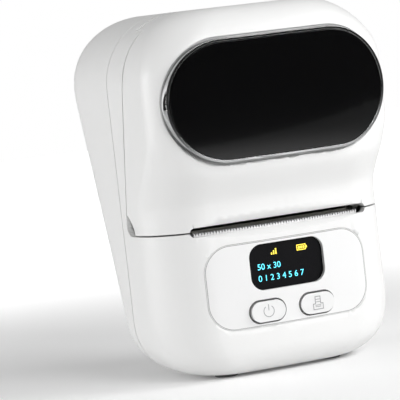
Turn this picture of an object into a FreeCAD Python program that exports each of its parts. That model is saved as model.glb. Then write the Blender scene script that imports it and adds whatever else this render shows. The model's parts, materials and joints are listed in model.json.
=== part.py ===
import FreeCAD, Part
import math
import os
from FreeCAD import Vector

# Desktop thermal label printer, lengths in millimetres.
# X is across the printer, Y runs from the front to the back, Z is up.
# The origin is on the table, under the middle of the printer's box.
# A "depth" is measured backwards from the middle of the lower front face.

# Overall size
WIDTH = 77.0
HEIGHT = 108.0
DEPTH = 81.2
GLASS_REACH = 8.5            # how far the glass stands in front of the lower face
FOOT_PROUD = 0.8
WALL = 2.2
FACE_Y = GLASS_REACH - DEPTH / 2

# Housing form
FRONT_BOW = 205.0            # radius of the front seen from above
BACK_BOW = 260.0
BACK_LEAN = 0.312            # how far the back moves rearwards per millimetre of height
FRONT_CORNER = 18.0
HOOD_CORNER = 8.5
BACK_CORNER = 20.0
BASE_SIDE_ROUND = 17.0
BASE_FRONT_ROUND = 9.0
BASE_BACK_ROUND = 13.0
TOP_SIDE_ROUND = 21.0
TOP_FRONT_ROUND = 11.0
TOP_BACK_ROUND = 26.0
HOOD_REACH = 6.3             # how far the lid stands out around the glass
HOOD_START = 50.0
HOOD_RISE = 13.0
TOP_CORNER_SHRINK = 0.55
CAP = 0.05                   # height left for the flat cap at each end

# Glass and its ring
GLASS_Z = 81.3
RING_HALF = 35.5
RING_HALF_HEIGHT = 18.4
RING_WIDTH = 1.5
RING_SEAT = 1.2
GLASS_GAP = 0.25
RING_BEVEL = 0.9
RING_STEP = 0.2              # the glass stands this much prouder than the ring
HOOD_SPREAD = 5.6            # the lid's corners start to sharpen this far outside the ring
HOOD_FULL = 1.6              # how soon they reach their sharpest

# Lid seam and hinge
SEAM_Z = 44.3
SEAM_GAP = 0.5
SEAM_LOW = 26.3              # depth of the seam at its lower corner
SEAM_HIGH = 16.6             # depth of the seam over the top
SEAM_BEND_Z = 90.0
SEAM_CORNER = 4.0
PARTING = 29.0               # depth of the joint between front and rear housing
PARTING_GAP = 0.3
HINGE_DROP = 3.3             # hinge axis below the top
HINGE_BACK = 0.7             # hinge axis behind the seam
BARREL_RADIUS = 3.25
BARREL_GAP = 1.0
BARREL_HALF = 30.0
HINGE_PIN_RADIUS = 1.0
EAR_AT = 18.0
EAR_WIDTH = 3.0
EAR_RADIUS = 2.3
EAR_WEB = 7.0
SIDE_GAP = 0.3
GRIP_DEPTH = 2.0
GRIP_LENGTH = 11.0

# Label slot and tear bar
SLOT_HALF = 28.5
SLOT_HEIGHT = 2.8
LIP_FLARE = 1.6
LIP_DEPTH = 6.0
TEAR_HALF = 26.5
TEAR_PITCH = 0.88
TEAR_TOOTH = 0.9
TEAR_DEPTH = 2.6
TEAR_THICK = 0.8
TEAR_BOW = 150.0
TEAR_HEIGHT = 3.6
TEAR_DROP = 0.35             # teeth tips below the seam

# Platen and gears
PLATEN_RADIUS = 4.5
PLATEN_HALF = 26.0
PLATEN_DEPTH = 13.5
PLATEN_NIP = 0.15
SHAFT_RADIUS = 1.5
BUSH_RADIUS = 3.0
RUN_FIT = 0.05
CHEEK_IN = 26.7
CHEEK_THICK = 2.0
GEAR_MODULE = 0.5
GEAR_IN = 28.9
GEAR_WIDTH = 2.0
PLATEN_TEETH = 20
IDLER_TEETH = 24
MOTOR_TEETH = 12
MESH_GAP = 0.06
IDLER_ANGLE = -32.0
MOTOR_ANGLE = -60.0
MOTOR_RADIUS = 7.0
MOTOR_LENGTH = 15.0
MOTOR_SHAFT = 1.0
AXLE_RADIUS = 1.2

# Print head
HEAD_HALF = 25.2
HEAD_FRONT = 8.8
HEAD_LENGTH = 11.8
CERAMIC_LENGTH = 8.2
CERAMIC_THICK = 0.8
SINK_THICK = 2.6
HEAD_PIN_RADIUS = 1.0
HEAD_PIN_BACK = 1.3          # pivot in front of the heat sink's rear edge
SPRING_AT = 14.0
SPRING_RADIUS = 2.2
SPRING_WIRE = 0.3
SPRING_TURNS = 5
SPRING_ROOM = 6.0
SPRING_DEPTH = 12.0

# Inner frame
PLATE_THICK = 1.5
INNER_PLATE = 26.0
OUTER_PLATE = 31.9
SHELF_THICK = 1.6
SHELF_TOP = 47.6
SHELF_FRONT = 22.2
SHELF_BACK = 48.5
FRAME_TOP = 85.0
FRAME_FRONT = 17.0
SPRING_SHELF_FRONT = 9.5

# Label roll guides
ROLL_DEPTH = 34.0
ROLL_Z = 77.0
ROLL_WIDTH = 51.0
GUIDE_THICK = 2.5
GUIDE_FLANGE = 11.0
GUIDE_HUB = 6.0
GUIDE_HUB_LENGTH = 4.5
RAIL_RADIUS = 2.0
RAIL_DEPTH = 40.0
RAIL_RISE = 6.0
FOOT_LENGTH = 5.0
FOOT_HALF = 4.0
FOOT_TOP = 9.6
SLIDE_GAP = 0.2
RACK_HEIGHT = 2.0
RACK_BACKING = 2.0
RACK_REACH = 8.0             # rack past the pinion at rest
PINION_TEETH = 20
PINION_HUB = 1.2

# Control panel, display and buttons
PANEL_HALF = 25.9
PANEL_LOW = 14.6
PANEL_HIGH = 39.5
PANEL_ROUND = 8.0
PANEL_THICK = 1.2
PANEL_GAP = 0.12
SCREEN_HALF = 12.05
SCREEN_LOW = 25.0
SCREEN_HIGH = 38.5
SCREEN_ROUND = 4.0
SCREEN_SET = 1.65            # depth of the window's front
SCREEN_THICK = 1.0
SCREEN_LEDGE = 0.9
MODULE_GAP = 0.1
BUTTON_AT = 8.0
BUTTON_Z = 18.9
BUTTON_HALF = 5.45
BUTTON_HALF_HEIGHT = 3.0
BUTTON_GAP = 0.25
BUTTON_PROUD = 0.6
BUTTON_TRAVEL = 0.6
BUTTON_FLANGE = 0.55
BUTTON_BACK = 3.35
SWITCH_HALF = 2.5
SWITCH_THICK = 1.15
BOARD_THICK = 1.6
PANEL_BOARD_HALF = 24.0
PANEL_BOARD_LOW = 13.2
PANEL_BOARD_HIGH = 40.0
PANEL_BOSS_AT = 20.5
PANEL_BOSS_RADIUS = 1.9
PANEL_SCREW_RADIUS = 0.8
PANEL_SCREW_HEAD = 1.5
PANEL_SCREW_HEAD_TALL = 1.0

# Main board, socket and battery
MAIN_HALF = 21.0
MAIN_FRONT = 13.0
MAIN_BACK = 40.8
MAIN_Z = 6.2
POST_AT = 16.0
POST_RADIUS = 2.0
POST_INSET = 3.5
SOCKET_HALF = 4.47
SOCKET_HEIGHT = 3.2
SOCKET_LENGTH = 7.4
SOCKET_WALL = 0.3
SOCKET_PROUD = 5.8
SOCKET_GAP = 0.4
BATTERY_HALF = 24.0
BATTERY_FRONT = 35.4
BATTERY_THICK = 10.2
BATTERY_HEIGHT = 32.6
BATTERY_SHELF = 1.4
BATTERY_LOW = 12.9

# Feet and screws
FOOT_RADIUS = 3.5
FOOT_SINK = 0.6
FOOT_AT = 17.0
FOOT_FRONT = 14.5
FOOT_REAR = 33.2
FOOT_GAP = 0.1
BOSS_RADIUS = 3.6
SCREW_RADIUS = 1.25
SCREW_HEAD_RADIUS = 2.3
SCREW_HEAD = 1.8
SCREW_SEAT = 38.0            # depth of the shoulder under the screw heads
SCREW_TIP = 20.5
SCREW_ROOM = 0.3
LOW_SCREW = (27.0, 7.4)
HIGH_SCREW = (30.0, 91.0)
LOW_BOSS_FRONT = 14.0
GUSSET_HALF = 1.0

# Lid liner
LINER_HALF = 25.0
LINER_LOW = 64.0
LINER_HIGH = 96.0
LINER_THICK = 1.5
LINER_ROUND = 5.0
LINER_INSET = 4.0
LINER_BOSS = 2.2
LINER_SET = 1.0              # depth of the liner's front face

TOP_SAFE = 40.0              # larger than the printer, for cutting tools
BLEND = 0.8                  # how far inner webs run into the housing wall


def at(depth):
    return FACE_Y + depth


def box(x0, x1, d0, d1, z0, z1):
    return Part.makeBox(x1 - x0, d1 - d0, z1 - z0, Vector(x0, at(d0), z0))


def rod_x(x0, x1, depth, z, radius):
    return Part.makeCylinder(radius, x1 - x0, Vector(x0, at(depth), z), Vector(1, 0, 0))


def rod_y(x, d0, d1, z, radius):
    return Part.makeCylinder(radius, d1 - d0, Vector(x, at(d0), z), Vector(0, 1, 0))


def rod_z(x, depth, z0, z1, radius):
    return Part.makeCylinder(radius, z1 - z0, Vector(x, at(depth), z0), Vector(0, 0, 1))


def side_prism(points, x0, x1):
    """A side view of (depth, z) points, drawn across the printer from x0 to x1."""
    corners = [Vector(x0, at(depth), z) for depth, z in points]
    face = Part.Face(Part.makePolygon(corners + corners[:1]))
    return face.extrude(Vector(x1 - x0, 0, 0))


def rounded_face(half, low, high, radius, depth, x=0.0):
    """A rounded rectangle seen from the front, standing at a depth."""
    y = at(depth)
    diag = radius * (1 - math.sqrt(0.5))
    left = x - half
    right = x + half
    edges = []
    runs = [((left + radius, low), (right - radius, low), (right - diag, low + diag)),
            ((right, low + radius), (right, high - radius), (right - diag, high - diag)),
            ((right - radius, high), (left + radius, high), (left + diag, high - diag)),
            ((left, high - radius), (left, low + radius), (left + diag, low + diag))]
    for i, (start, end, bend) in enumerate(runs):
        follow = runs[(i + 1) % len(runs)][0]
        a, b, m, c = [Vector(px, y, pz) for px, pz in (start, end, bend, follow)]
        if a.distanceToPoint(b) > 1e-6:
            edges.append(Part.LineSegment(a, b).toShape())
        edges.append(Part.Arc(b, m, c).toShape())
    return Part.Wire(edges)


def rounded_prism(half, low, high, radius, d0, d1, x=0.0):
    return Part.Face(rounded_face(half, low, high, radius, d0, x)).extrude(Vector(0, d1 - d0, 0))


def stadium(half, half_height, z, d0, d1, x=0.0):
    return rounded_prism(half, z - half_height, z + half_height, half_height - 0.001, d0, d1, x)


def bow_cylinder(depth, radius):
    """The upright cylinder whose front lies at a depth on the middle line."""
    return Part.makeCylinder(radius, HEIGHT + TOP_SAFE, Vector(0, at(depth) + radius, -FOOT_PROUD))


def drop(radius, into):
    """How far a quarter round of this radius has drawn in, into millimetres past its start."""
    into = max(0.0, min(radius, into))
    return radius - math.sqrt(radius * radius - into * into)


def ease(t):
    t = max(0.0, min(1.0, t))
    return t * t * (3 - 2 * t)


def hood_share(z):
    """1 level with the glass, falling to 0 above and below the ring."""
    away = abs(z - GLASS_Z) / (RING_HALF_HEIGHT + HOOD_SPREAD)
    return ease(HOOD_FULL * (1 - away))


def back_depth(z):
    steep = math.sqrt(1 + BACK_LEAN ** 2)
    fullest = HEIGHT - TOP_BACK_ROUND + TOP_BACK_ROUND * BACK_LEAN / steep
    line_at_fullest = DEPTH - GLASS_REACH + TOP_BACK_ROUND * (1 - 1 / steep)
    return line_at_fullest - BACK_LEAN * (fullest - z)


def tangent_corner(half, radius, bow, bow_y, facing):
    """Corner arc centre and its meeting point with the bowed face; facing is 1 for the front."""
    x = half - radius
    y = bow_y - facing * math.sqrt((bow - radius) ** 2 - x * x)
    away = Vector(x, y - bow_y, 0)
    away.normalize()
    meet = Vector(0, bow_y, 0) + away * bow
    middle = away + Vector(1, 0, 0)
    middle.normalize()
    return Vector(x, y, 0), meet, Vector(x, y, 0) + middle * radius


def level_section(z, inset):
    """The housing's outline at one level, drawn in by an inset."""
    up = z - FOOT_PROUD - inset
    down = HEIGHT - inset - z

    def end_rounds(low, high):
        low = low - inset
        high = high - inset
        return drop(low, low - up) + drop(high, high - down)

    narrow = end_rounds(BASE_SIDE_ROUND, TOP_SIDE_ROUND)
    half = WIDTH / 2 - inset - narrow
    hood = HOOD_REACH * ease((z - HOOD_START) / HOOD_RISE)
    front = inset - hood + end_rounds(BASE_FRONT_ROUND, TOP_FRONT_ROUND)
    back = back_depth(z) - inset - end_rounds(BASE_BACK_ROUND, TOP_BACK_ROUND)
    slim = 1 - TOP_CORNER_SHRINK * narrow / TOP_SIDE_ROUND
    share = hood_share(z)
    corner = (FRONT_CORNER * (1 - share) + HOOD_CORNER * share - inset) * slim
    rear_corner = (BACK_CORNER - inset) * slim
    front_y = at(front) + FRONT_BOW - inset
    back_y = at(back) - BACK_BOW + inset
    front_centre, front_meet, front_mid = tangent_corner(half, corner, FRONT_BOW - inset, front_y, 1)
    back_centre, back_meet, back_mid = tangent_corner(half, rear_corner, BACK_BOW - inset, back_y, -1)

    def lift(x, y):
        return Vector(x, y, z)

    def pair(p):
        return lift(p.x, p.y), lift(-p.x, p.y)

    fr, fl = pair(front_meet)
    fmr, fml = pair(front_mid)
    br, bl = pair(back_meet)
    bmr, bml = pair(back_mid)
    sfr, sfl = pair(Vector(half, front_centre.y, 0))
    sbr, sbl = pair(Vector(half, back_centre.y, 0))
    return Part.Wire([
        Part.Arc(fl, lift(0, at(front)), fr).toShape(),
        Part.Arc(fr, fmr, sfr).toShape(),
        Part.LineSegment(sfr, sbr).toShape(),
        Part.Arc(sbr, bmr, br).toShape(),
        Part.Arc(br, lift(0, at(back)), bl).toShape(),
        Part.Arc(bl, bml, sbl).toShape(),
        Part.LineSegment(sbl, sfl).toShape(),
        Part.Arc(sfl, fml, fl).toShape()])


def spaced(low, high, count):
    """Evenly spaced values between two limits, without the limits."""
    return [low + (high - low) * step / (count + 1) for step in range(1, count + 1)]


def housing_form(inset):
    """The whole printer's outer form, or its inside when inset by the wall."""
    low = FOOT_PROUD + inset
    high = HEIGHT - inset
    base_round = BASE_SIDE_ROUND - inset
    crown_round = TOP_SIDE_ROUND - inset
    base = [low + CAP + base_round * (1 - math.cos(step * math.pi / 14)) for step in range(8)]
    crown = [high - CAP - crown_round * (1 - math.cos(step * math.pi / 16)) for step in range(8, -1, -1)]
    lower = spaced(base[-1], HOOD_START, 4)
    upper = spaced(HOOD_START, crown[0], 16)
    levels = base + lower + [HOOD_START] + upper + crown
    return Part.makeLoft([level_section(z, inset) for z in levels], True, False)


def gear_face(teeth, module, phase, backlash=0.06):
    """A spur gear outline in the XY plane, with a tooth centred on the phase angle."""
    pitch_radius = teeth * module / 2
    base = pitch_radius * math.cos(math.radians(20))
    tip = pitch_radius + 0.9 * module
    root = pitch_radius - 1.2 * module

    def involute(radius):
        turn = math.acos(min(1.0, base / radius))
        return math.tan(turn) - turn

    half_tooth = math.pi / (2 * teeth) - backlash / (2 * pitch_radius)
    start = max(base, root)
    flank = [(root, half_tooth + involute(pitch_radius) - involute(start))]
    for radius in (start + 0.02, pitch_radius, tip):
        flank.append((radius, half_tooth + involute(pitch_radius) - involute(radius)))
    points = []
    for tooth in range(teeth):
        middle = phase + tooth * 2 * math.pi / teeth
        ring = [(r, middle - a) for r, a in flank] + [(r, middle + a) for r, a in reversed(flank)]
        points += [Vector(r * math.cos(a), r * math.sin(a), 0) for r, a in ring]
    return Part.Face(Part.makePolygon(points + points[:1]))


def gear_x(teeth, phase, depth, z, x0, width):
    """A gear on an axis along X; its angles run from the depth axis towards Z."""
    solid = gear_face(teeth, GEAR_MODULE, phase).extrude(Vector(0, 0, width))
    turn = FreeCAD.Matrix(0, 0, 1, x0, 1, 0, 0, at(depth), 0, 1, 0, z, 0, 0, 0, 1)
    return solid.transformGeometry(turn)


def both_sides(maker):
    return maker(1).fuse(maker(-1))


def across(side, near, far):
    """The X range between two distances from the middle, on one side."""
    return (near, far) if side > 0 else (-far, -near)


def write(name, shape):
    solids = shape.Solids
    body = solids[0] if len(solids) == 1 else Part.makeCompound(solids)
    body.exportStep("parts/" + name + ".step")
    print(name, "solids", len(solids), "valid", body.isValid(), "volume", round(body.Volume, 1))


os.makedirs("parts", exist_ok=True)

# Housing forms shared by the three shells
outer = housing_form(0.0)
inner = housing_form(WALL)
web_limit = housing_form(BLEND)
skin = outer.cut(inner)
hinge_depth = SEAM_HIGH + HINGE_BACK
hinge_z = HEIGHT - HINGE_DROP
platen_z = SEAM_Z + PLATEN_RADIUS + PLATEN_NIP
hood_depth = -HOOD_REACH


def lid_region(grow):
    """Everything in front of the lid seam, grown by half the seam's gap either way."""
    low = SEAM_Z - grow
    corner = Vector(-WIDTH, at(SEAM_LOW + grow), low)
    bend = Vector(-WIDTH, at(SEAM_HIGH + grow), SEAM_BEND_Z)
    rise = bend - corner
    rise.normalize()
    start = corner - Vector(0, SEAM_CORNER, 0)
    end = corner + rise * SEAM_CORNER
    middle = (start + end) * 0.5
    bow = corner + (middle - corner) * 0.62
    far = Vector(-WIDTH, at(-TOP_SAFE), low)
    top = Vector(-WIDTH, at(SEAM_HIGH + grow), HEIGHT + TOP_SAFE)
    top_far = Vector(-WIDTH, at(-TOP_SAFE), HEIGHT + TOP_SAFE)
    wire = Part.Wire([Part.LineSegment(far, start).toShape(),
                      Part.Arc(start, bow, end).toShape(),
                      Part.LineSegment(end, bend).toShape(),
                      Part.LineSegment(bend, top).toShape(),
                      Part.LineSegment(top, top_far).toShape(),
                      Part.LineSegment(top_far, far).toShape()])
    return Part.Face(wire).extrude(Vector(2 * WIDTH, 0, 0))


# Label slot with its flared lips
slot_cut = stadium(SLOT_HALF, SLOT_HEIGHT / 2, SEAM_Z, -TOP_SAFE / 8, LIP_DEPTH + WALL)
lip_wires = []
for flare, depth in ((LIP_FLARE, 0.0), (0.0, WALL)):
    tall = SLOT_HEIGHT / 2 + flare
    lip_wires.append(rounded_face(SLOT_HALF + flare, SEAM_Z - tall, SEAM_Z + tall, tall - 0.001, depth))
lip_face = rounded_face(SLOT_HALF + LIP_FLARE, SEAM_Z - SLOT_HEIGHT / 2 - LIP_FLARE,
                        SEAM_Z + SLOT_HEIGHT / 2 + LIP_FLARE, SLOT_HEIGHT / 2 + LIP_FLARE - 0.001, -WALL)
lip_cut = Part.makeLoft(lip_wires, True, True).fuse(
    Part.Face(lip_face).extrude(Vector(0, WALL, 0)))
slot_cut = slot_cut.fuse(lip_cut)


def grip_centre(side):
    return Vector(side * (WIDTH / 2 + GRIP_LENGTH - GRIP_DEPTH), at(SEAM_LOW), SEAM_Z)


def grip_scoop(side):
    """The finger scoop at the lid's lower rear corner."""
    ball = Part.makeSphere(GRIP_LENGTH)
    ball.translate(grip_centre(side))
    return ball


def grip_backing(side):
    """The thicker wall behind the scoop, so that the lid stays closed there."""
    ball = Part.makeSphere(GRIP_LENGTH + WALL)
    ball.translate(grip_centre(side))
    return ball


# Lid shell with its barrel, platen cheeks and liner bosses
lid_body = lid_region(-SEAM_GAP / 2)
barrel = rod_x(-BARREL_HALF, BARREL_HALF, hinge_depth, hinge_z, BARREL_RADIUS).common(outer)
lid_shell = skin.common(lid_body)
for side in (1, -1):
    lid_shell = lid_shell.fuse(grip_backing(side).common(web_limit).common(lid_body))
lid_shell = lid_shell.cut(both_sides(grip_scoop))
lid_shell = lid_shell.fuse(barrel)


def platen_cheek(side):
    low = SEAM_Z + SEAM_GAP
    rear = PLATEN_DEPTH + BUSH_RADIUS + 1.0
    outline = [(-GLASS_REACH, low), (rear, low), (rear, platen_z + BUSH_RADIUS + 1.0),
               (LINER_SET, LINER_LOW + 2), (-GLASS_REACH, LINER_LOW + 2)]
    plate = side_prism(outline, *across(side, CHEEK_IN, CHEEK_IN + CHEEK_THICK))
    return plate.common(web_limit)


def liner_points():
    spread = LINER_HALF - LINER_INSET
    levels = (LINER_LOW + LINER_INSET, LINER_HIGH - LINER_INSET)
    return [(side * spread, z) for side in (1, -1) for z in levels]


lid_shell = lid_shell.fuse(both_sides(platen_cheek))
for x, z in liner_points():
    lid_shell = lid_shell.fuse(rod_y(x, -GLASS_REACH, LINER_SET, z, LINER_BOSS).common(web_limit))
    lid_shell = lid_shell.cut(rod_y(x, LINER_SET - LINER_THICK * 2, LINER_SET, z, PANEL_SCREW_RADIUS))
for side in (1, -1):
    x0, x1 = across(side, EAR_AT - SIDE_GAP, EAR_AT + EAR_WIDTH + SIDE_GAP)
    lid_shell = lid_shell.cut(rod_x(x0, x1, hinge_depth, hinge_z, BARREL_RADIUS + BARREL_GAP))
    x0, x1 = across(side, CHEEK_IN - 1, CHEEK_IN + CHEEK_THICK + 1)
    lid_shell = lid_shell.cut(rod_x(x0, x1, PLATEN_DEPTH, platen_z, BUSH_RADIUS))
pin_half = EAR_AT + EAR_WIDTH
lid_shell = lid_shell.cut(rod_x(-pin_half, pin_half, hinge_depth, hinge_z, HINGE_PIN_RADIUS + RUN_FIT))
lid_shell = lid_shell.cut(slot_cut)
seat_outline = stadium(RING_HALF, RING_HALF_HEIGHT, GLASS_Z, -TOP_SAFE, GLASS_REACH)
seat_floor = bow_cylinder(hood_depth + RING_SEAT, FRONT_BOW - RING_SEAT)
lid_shell = lid_shell.cut(seat_outline.cut(seat_floor))
write("lid_shell", lid_shell)

# Chrome ring and black glass, both on the front's bow
ring_front = bow_cylinder(RING_STEP - GLASS_REACH, FRONT_BOW)
ring_inner_half = RING_HALF - RING_WIDTH
ring_inner_height = RING_HALF_HEIGHT - RING_WIDTH
bevel_back = rounded_face(RING_HALF, GLASS_Z - RING_HALF_HEIGHT, GLASS_Z + RING_HALF_HEIGHT,
                          RING_HALF_HEIGHT - 0.001, hood_depth + GLASS_REACH)
narrow = RING_HALF_HEIGHT - RING_BEVEL
bevel_front = rounded_face(RING_HALF - RING_BEVEL, GLASS_Z - narrow, GLASS_Z + narrow,
                           narrow - 0.001, -GLASS_REACH - RING_STEP)
ring_body = Part.makeLoft([bevel_back, bevel_front], True, True)
ring = ring_body.common(ring_front).cut(seat_floor)
ring = ring.cut(stadium(ring_inner_half, ring_inner_height, GLASS_Z, -TOP_SAFE, GLASS_REACH))
write("window_ring", ring)
glass_half = ring_inner_half - GLASS_GAP
glass_height = ring_inner_height - GLASS_GAP
glass = stadium(glass_half, glass_height, GLASS_Z, -TOP_SAFE / 2, GLASS_REACH)
glass = glass.common(bow_cylinder(-GLASS_REACH, FRONT_BOW)).cut(seat_floor)
write("window_glass", glass)

# Lid liner and its screws
liner = rounded_prism(LINER_HALF, LINER_LOW, LINER_HIGH, LINER_ROUND, LINER_SET, LINER_SET + LINER_THICK)
liner_screws = []
for x, z in liner_points():
    liner = liner.cut(rod_y(x, LINER_SET, LINER_SET + LINER_THICK, z, PANEL_SCREW_RADIUS + RUN_FIT))
    shank = rod_y(x, LINER_SET - LINER_THICK, LINER_SET + LINER_THICK, z, PANEL_SCREW_RADIUS)
    head = rod_y(x, LINER_SET + LINER_THICK, LINER_SET + LINER_THICK + 1.0, z, PANEL_SCREW_HEAD)
    liner_screws.append(shank.fuse(head).removeSplitter())
write("lid_liner", liner)
write("liner_screws", Part.makeCompound(liner_screws))

# Hinge pin
write("hinge_pin", rod_x(-pin_half, pin_half, hinge_depth, hinge_z, HINGE_PIN_RADIUS))

# Front housing
front_zone = box(-WIDTH, WIDTH, -TOP_SAFE, PARTING - PARTING_GAP / 2, -TOP_SAFE, HEIGHT + TOP_SAFE)
front_shell = skin.common(front_zone).cut(lid_region(SEAM_GAP / 2))
cove_half = BARREL_HALF + SIDE_GAP
cove = rod_x(-cove_half, cove_half, hinge_depth, hinge_z, BARREL_RADIUS + BARREL_GAP)
front_shell = front_shell.cut(cove)


def hinge_ear(side):
    x0, x1 = across(side, EAR_AT, EAR_AT + EAR_WIDTH)
    eye = rod_x(x0, x1, hinge_depth, hinge_z, EAR_RADIUS)
    web = box(x0, x1, hinge_depth, hinge_depth + EAR_WEB, hinge_z - EAR_RADIUS, hinge_z + EAR_RADIUS / 2)
    ear = eye.fuse(web).common(web_limit)
    return ear.cut(rod_x(x0, x1, hinge_depth, hinge_z, HINGE_PIN_RADIUS))


def case_boss(side, place, d0, d1):
    """A screw boss along Y with a web out to the housing wall."""
    x, z = place
    boss = rod_y(side * x, d0, d1, z, BOSS_RADIUS)
    x0, x1 = across(side, x, WIDTH / 2)
    web = box(x0, x1, d0, d1, z - GUSSET_HALF, z + GUSSET_HALF)
    floor_web = box(side * x - GUSSET_HALF, side * x + GUSSET_HALF, d0, d1, 0, z)
    both = boss.fuse(web)
    return (both.fuse(floor_web) if z < HEIGHT / 2 else both).common(web_limit)


front_shell = front_shell.fuse(both_sides(hinge_ear))
parting_front = PARTING - PARTING_GAP / 2
parting_rear = PARTING + PARTING_GAP / 2
high_boss_front = SEAM_HIGH + SEAM_GAP + 2.0
for side in (1, -1):
    front_shell = front_shell.fuse(case_boss(side, LOW_SCREW, LOW_BOSS_FRONT, parting_front))
    front_shell = front_shell.fuse(case_boss(side, HIGH_SCREW, high_boss_front, parting_front))
    for x, z in (LOW_SCREW, HIGH_SCREW):
        front_shell = front_shell.cut(rod_y(side * x, SCREW_TIP, PARTING, z, SCREW_RADIUS))

panel_board_front = BUTTON_BACK + BUTTON_TRAVEL + MODULE_GAP + SWITCH_THICK
panel_points = [(side * PANEL_BOSS_AT, z) for side in (1, -1)
                for z in (PANEL_BOARD_LOW + 2.6, PANEL_BOARD_HIGH - 2.6)]
for x, z in panel_points:
    front_shell = front_shell.fuse(rod_y(x, WALL, panel_board_front, z, PANEL_BOSS_RADIUS))
    front_shell = front_shell.cut(rod_y(x, WALL * 1.5, panel_board_front, z, PANEL_SCREW_RADIUS))
front_post = (MAIN_FRONT + POST_INSET, MAIN_BACK - POST_INSET)
for side in (1, -1):
    post = rod_z(side * POST_AT, front_post[0], FOOT_PROUD + BLEND, MAIN_Z, POST_RADIUS)
    front_shell = front_shell.fuse(post)
front_shell = front_shell.cut(slot_cut)

# Control panel inlay, cut flush with the front
panel_outline = rounded_prism(PANEL_HALF, PANEL_LOW, PANEL_HIGH, PANEL_ROUND, -WALL, TOP_SAFE / 4)
panel_floor = bow_cylinder(PANEL_THICK, FRONT_BOW - PANEL_THICK)
panel = panel_outline.common(outer).cut(panel_floor)
panel_pocket = rounded_prism(PANEL_HALF + PANEL_GAP, PANEL_LOW - PANEL_GAP, PANEL_HIGH + PANEL_GAP,
                             PANEL_ROUND + PANEL_GAP, -WALL, TOP_SAFE / 4).cut(panel_floor)
front_shell = front_shell.cut(panel_pocket)
screen_hole = rounded_prism(SCREEN_HALF, SCREEN_LOW, SCREEN_HIGH, SCREEN_ROUND, -WALL, TOP_SAFE / 4)
panel = panel.cut(screen_hole)
window_half = SCREEN_HALF + SCREEN_LEDGE
window_low = SCREEN_LOW - SCREEN_LEDGE
window_high = SCREEN_HIGH + SCREEN_LEDGE
window_hole = rounded_prism(window_half + PANEL_GAP, window_low - PANEL_GAP, window_high + PANEL_GAP,
                            SCREEN_ROUND + SCREEN_LEDGE, -WALL, TOP_SAFE / 4)
front_shell = front_shell.cut(window_hole)
for x in (BUTTON_AT, -BUTTON_AT):
    hole = stadium(BUTTON_HALF + BUTTON_GAP, BUTTON_HALF_HEIGHT + BUTTON_GAP, BUTTON_Z,
                   -WALL, BUTTON_BACK, x)
    panel = panel.cut(hole)
    front_shell = front_shell.cut(hole)
write("control_panel", panel)

# Feet pockets are cut in both housings
foot_places = [(side * FOOT_AT, depth) for depth in (FOOT_FRONT, FOOT_REAR) for side in (1, -1)]
for x, depth in foot_places:
    front_shell = front_shell.cut(rod_z(x, depth, 0, FOOT_PROUD + FOOT_SINK, FOOT_RADIUS + FOOT_GAP))
write("front_shell", front_shell)

# Rear housing
rear_zone = box(-WIDTH, WIDTH, parting_rear, DEPTH + TOP_SAFE, -TOP_SAFE, HEIGHT + TOP_SAFE)
rear_shell = skin.common(rear_zone)
battery_seat = box(-BATTERY_HALF, BATTERY_HALF, BATTERY_FRONT, DEPTH,
                   BATTERY_LOW - BATTERY_SHELF, BATTERY_LOW)
rear_shell = rear_shell.fuse(battery_seat.common(web_limit))
for side in (1, -1):
    for place in (LOW_SCREW, HIGH_SCREW):
        rear_shell = rear_shell.fuse(case_boss(side, place, parting_rear, DEPTH))
for side in (1, -1):
    rear_shell = rear_shell.fuse(rod_z(side * POST_AT, front_post[1], FOOT_PROUD + BLEND, MAIN_Z, POST_RADIUS)
                                 .common(web_limit))
    for x, z in (LOW_SCREW, HIGH_SCREW):
        rear_shell = rear_shell.cut(rod_y(side * x, PARTING, DEPTH, z, SCREW_RADIUS + SCREW_ROOM))
        rear_shell = rear_shell.cut(rod_y(side * x, SCREW_SEAT, DEPTH, z, SCREW_HEAD_RADIUS + SCREW_ROOM))
socket_z = MAIN_Z + BOARD_THICK + SOCKET_HEIGHT / 2
socket_hole = stadium(SOCKET_HALF + SOCKET_GAP, SOCKET_HEIGHT / 2 + SOCKET_GAP, socket_z,
                      MAIN_BACK - 1, DEPTH)
rear_shell = rear_shell.cut(socket_hole)
for x, depth in foot_places:
    rear_shell = rear_shell.cut(rod_z(x, depth, 0, FOOT_PROUD + FOOT_SINK, FOOT_RADIUS + FOOT_GAP))
write("rear_shell", rear_shell)

# Feet and case screws
write("rubber_feet", Part.makeCompound(
    [rod_z(x, depth, 0, FOOT_PROUD + FOOT_SINK, FOOT_RADIUS) for x, depth in foot_places]))
case_screws = []
for side in (1, -1):
    for x, z in (LOW_SCREW, HIGH_SCREW):
        shank = rod_y(side * x, SCREW_TIP, SCREW_SEAT, z, SCREW_RADIUS)
        head = rod_y(side * x, SCREW_SEAT, SCREW_SEAT + SCREW_HEAD, z, SCREW_HEAD_RADIUS)
        case_screws.append(shank.fuse(head).removeSplitter())
write("case_screws", Part.makeCompound(case_screws))

# Display window, display module, buttons and switches
window = rounded_prism(window_half, window_low, window_high, SCREEN_ROUND + SCREEN_LEDGE,
                       SCREEN_SET, SCREEN_SET + SCREEN_THICK)
write("display_window", window)
module_front = SCREEN_SET + SCREEN_THICK + MODULE_GAP
write("display_module", box(-window_half, window_half, module_front, panel_board_front,
                            window_low, window_high))


def button(x):
    cap = stadium(BUTTON_HALF, BUTTON_HALF_HEIGHT, BUTTON_Z, -BUTTON_PROUD, BUTTON_BACK, x)
    flange = stadium(BUTTON_HALF + BUTTON_FLANGE, BUTTON_HALF_HEIGHT + BUTTON_FLANGE, BUTTON_Z,
                     BUTTON_BACK - 0.5, BUTTON_BACK, x)
    return cap.fuse(flange).removeSplitter()


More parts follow.
